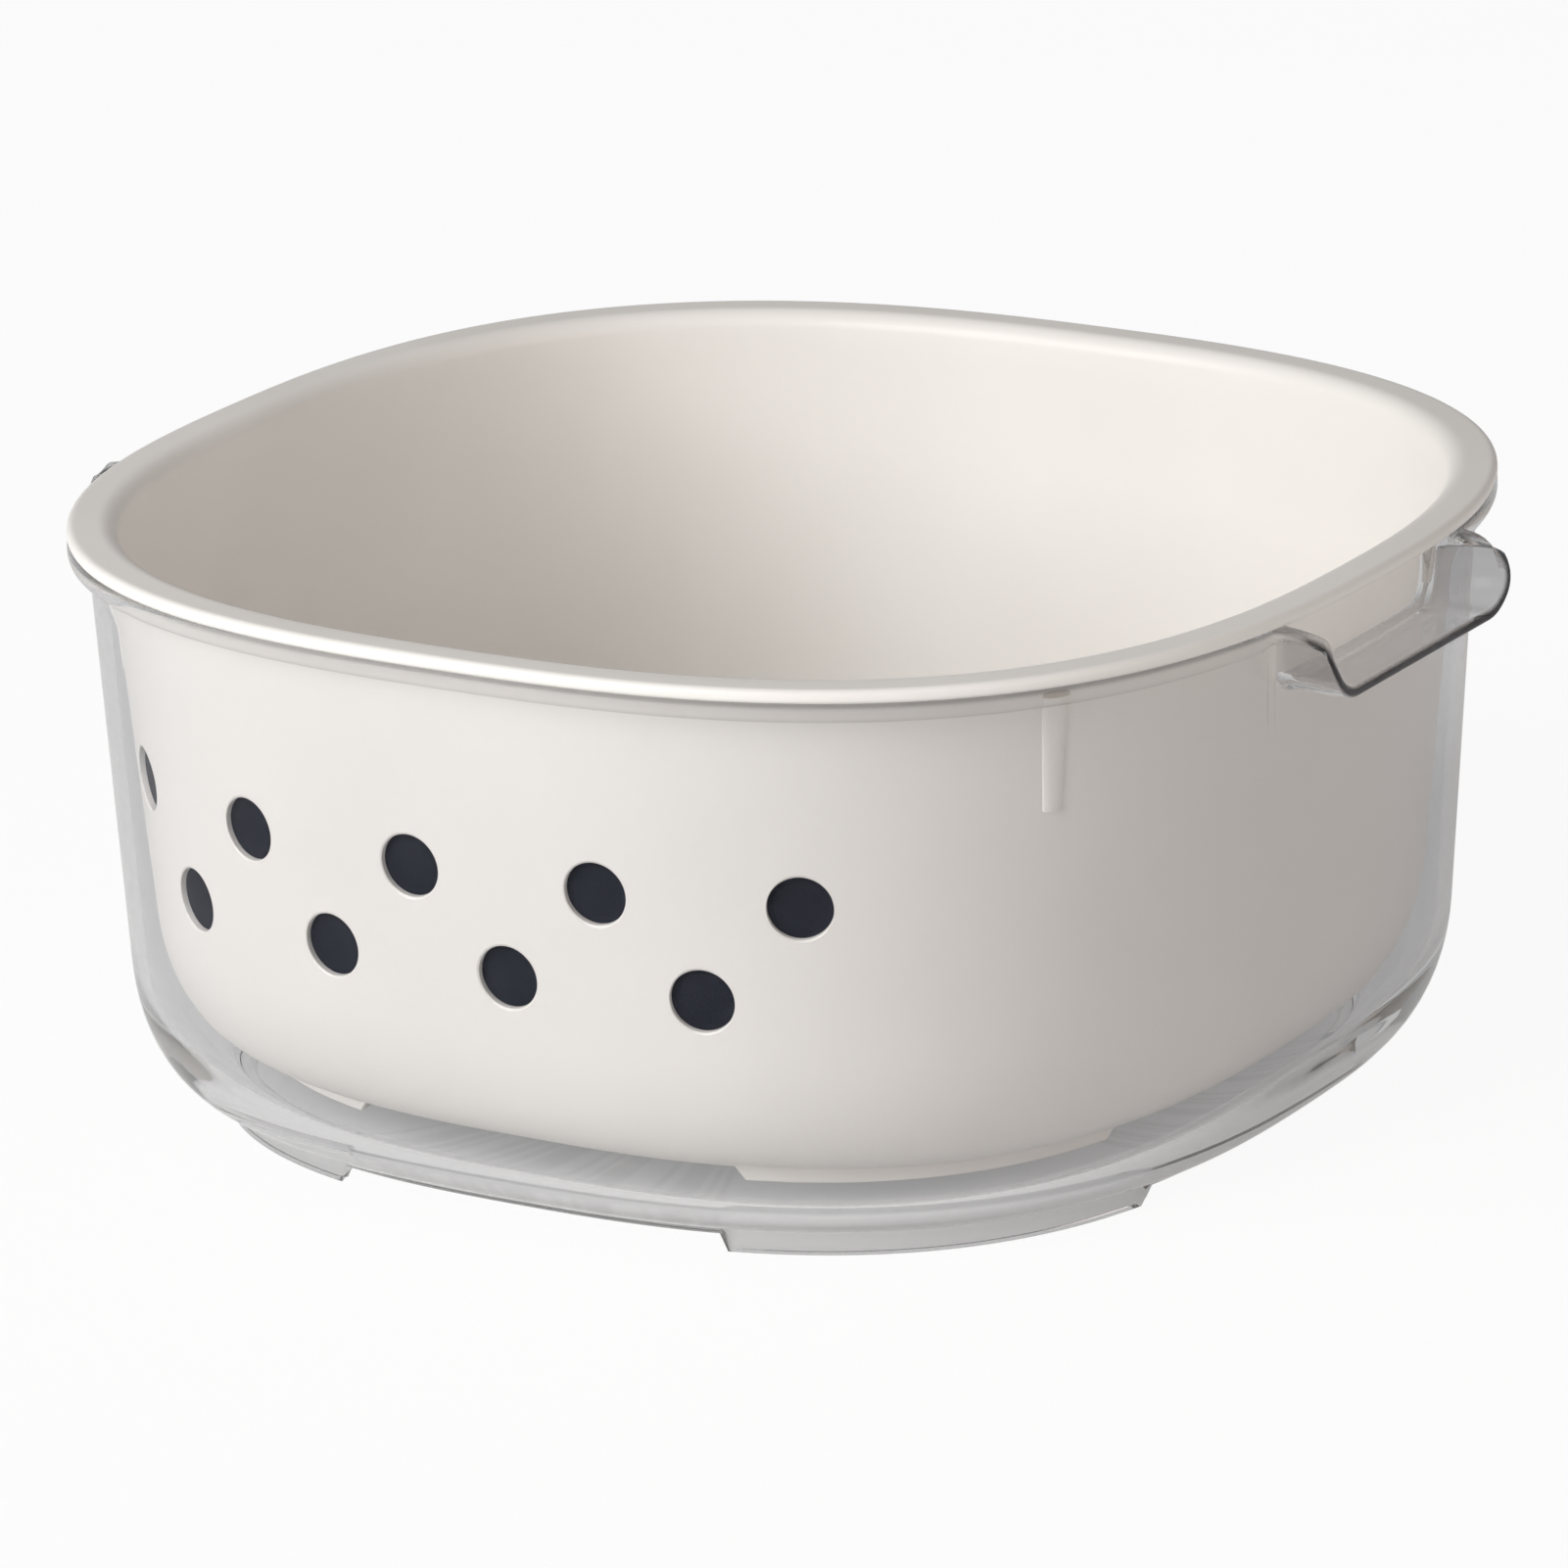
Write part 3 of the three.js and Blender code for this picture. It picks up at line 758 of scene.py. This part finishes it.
def clear_plastic():
    """Clear moulded plastic, a little grey, with painted shade along its edges and foot, and a slow flow
    waviness.
    """
    made, tree, surface = material("clear_moulded_plastic")
    surface.inputs["Transmission Weight"].default_value = 1.0
    surface.inputs["IOR"].default_value = CLEAR_IOR
    # Painted shade: the stored shade mixes the cloudy grey towards near black
    edge = tree.nodes.new("ShaderNodeAttribute")
    edge.attribute_name = PAINTED_SHADE_ATTRIBUTE
    painted_shade_mix = tree.nodes.new("ShaderNodeMix")
    painted_shade_mix.data_type = "RGBA"
    tree.links.new(edge.outputs["Fac"], painted_shade_mix.inputs[MIX_SHARE])
    tree.links.new(clouds(tree, CLEAR_CLOUDS, CLEAR_COLOURS), painted_shade_mix.inputs[MIX_FIRST])
    painted_shade_mix.inputs[MIX_SECOND].default_value = CLEAR_PAINTED_SHADE_COLOUR
    tree.links.new(painted_shade_mix.outputs[MIX_RESULT], surface.inputs["Base Color"])
    tree.links.new(patches(tree, CLEAR_PATCHES, CLEAR_ROUGHNESS), surface.inputs["Roughness"])
    flow = bump(tree, noise(tree, CLEAR_FLOW), CLEAR_FLOW_STRENGTH, CLEAR_FLOW_DEPTH)
    tree.links.new(flow, surface.inputs["Normal"])
    ray = tree.nodes.new("ShaderNodeLightPath")
    lighting = worked_out(tree, "MAXIMUM", ray.outputs["Is Shadow Ray"], ray.outputs["Is Diffuse Ray"])
    lost = worked_out(tree, "GREATER_THAN", ray.outputs["Ray Depth"], BOUNCES_KEPT)
    straight = worked_out(tree, "MAXIMUM", lighting, lost)
    open_air = tree.nodes.new("ShaderNodeBsdfTransparent")
    open_air.inputs["Color"].default_value = CLEAR_STRAIGHT_COLOUR
    mix_on_surface(tree, straight, surface.outputs["BSDF"], open_air.outputs["BSDF"])
    return made


basket.data.materials.append(cream_plastic())
hole_shades.data.materials.append(hole_shade())
bowl.data.materials.append(clear_plastic())


# Stage: floor, light and camera
def stage_floor():
    """A pale floor that glows white where the camera sees it, and partly in and through the clear bowl."""
    bm = bmesh.new()
    bmesh.ops.create_grid(bm, x_segments=1, y_segments=1, size=FLOOR_SIZE)
    floor = new_object("floor", bm)
    made, tree, surface = material("white_floor")
    surface.inputs["Base Color"].default_value = FLOOR_COLOUR
    surface.inputs["Roughness"].default_value = FLOOR_ROUGHNESS
    glow = tree.nodes.new("ShaderNodeEmission")
    ray = tree.nodes.new("ShaderNodeLightPath")
    either = worked_out(tree, "MAXIMUM", ray.outputs["Is Glossy Ray"], ray.outputs["Is Transmission Ray"])
    through = worked_out(tree, "MULTIPLY", either, GLOW_THROUGH)
    share = worked_out(tree, "MULTIPLY_ADD", ray.outputs["Is Camera Ray"], GLOW_SEEN, through)
    mix_on_surface(tree, share, surface.outputs["BSDF"], glow.outputs["Emission"])
    floor.data.materials.append(made)


def studio_light():
    """White light from all round, stronger from the horizon than from above."""
    world = bpy.data.worlds.new("studio")
    bpy.context.scene.world = world
    world.use_nodes = True
    tree = world.node_tree
    sky = tree.nodes["Background"]
    sky.inputs["Color"].default_value = SKY_COLOUR
    direction = tree.nodes.new("ShaderNodeTexCoord")
    parts = tree.nodes.new("ShaderNodeSeparateXYZ")
    tree.links.new(direction.outputs["Generated"], parts.inputs["Vector"])
    level = tree.nodes.new("ShaderNodeMapRange")
    level.inputs["From Min"].default_value = 0
    level.inputs["From Max"].default_value = SKY_CHANGE_END
    level.inputs["To Min"].default_value = SKY_HORIZON
    level.inputs["To Max"].default_value = SKY_TOP
    tree.links.new(parts.outputs["Z"], level.inputs["Value"])
    tree.links.new(level.outputs["Result"], sky.inputs["Strength"])


def lamp(name, place, size, power, colour):
    """A wide soft lamp that faces the part."""
    light = bpy.data.lights.new(name, "AREA")
    light.color = colour
    light.shape = "RECTANGLE"
    light.size, light.size_y = size
    light.energy = power
    made = bpy.data.objects.new(name, light)
    bpy.context.scene.collection.objects.link(made)
    back = (Vector(place) - Vector(LAMP_AIM)).normalized()
    made.matrix_world = Matrix.Translation(place) @ back.to_track_quat("Z", "Y").to_matrix().to_4x4()


def photo_camera():
    """The camera at the photograph's place, with its slight roll."""
    back = Vector((
        math.sin(CAMERA_AZIMUTH) * math.cos(CAMERA_ELEVATION),
        -math.cos(CAMERA_AZIMUTH) * math.cos(CAMERA_ELEVATION),
        math.sin(CAMERA_ELEVATION),
    ))
    right = Vector((math.cos(CAMERA_AZIMUTH), math.sin(CAMERA_AZIMUTH), 0))
    up = back.cross(right)
    place = back * CAMERA_DISTANCE + right * CAMERA_ASIDE + Vector((0, 0, CAMERA_TARGET_HEIGHT))
    turn = Matrix((right, up, back)).transposed().to_4x4() @ Matrix.Rotation(CAMERA_ROLL, 4, "Z")
    data = bpy.data.cameras.new("photo_camera")
    data.sensor_width = SENSOR
    data.lens = LENS_PIXELS / PHOTO_SIDE * SENSOR
    data.clip_start = CAMERA_NEAREST
    data.clip_end = CAMERA_FARTHEST
    camera = bpy.data.objects.new("photo_camera", data)
    bpy.context.scene.collection.objects.link(camera)
    camera.matrix_world = Matrix.Translation(place) @ turn
    bpy.context.scene.camera = camera


stage_floor()
studio_light()
lamp("key", KEY_PLACE, KEY_SIZE, KEY_POWER, KEY_COLOUR)
lamp("fill", FILL_PLACE, FILL_SIZE, FILL_POWER, FILL_COLOUR)
photo_camera()
bpy.context.scene.view_settings.view_transform = "Standard"
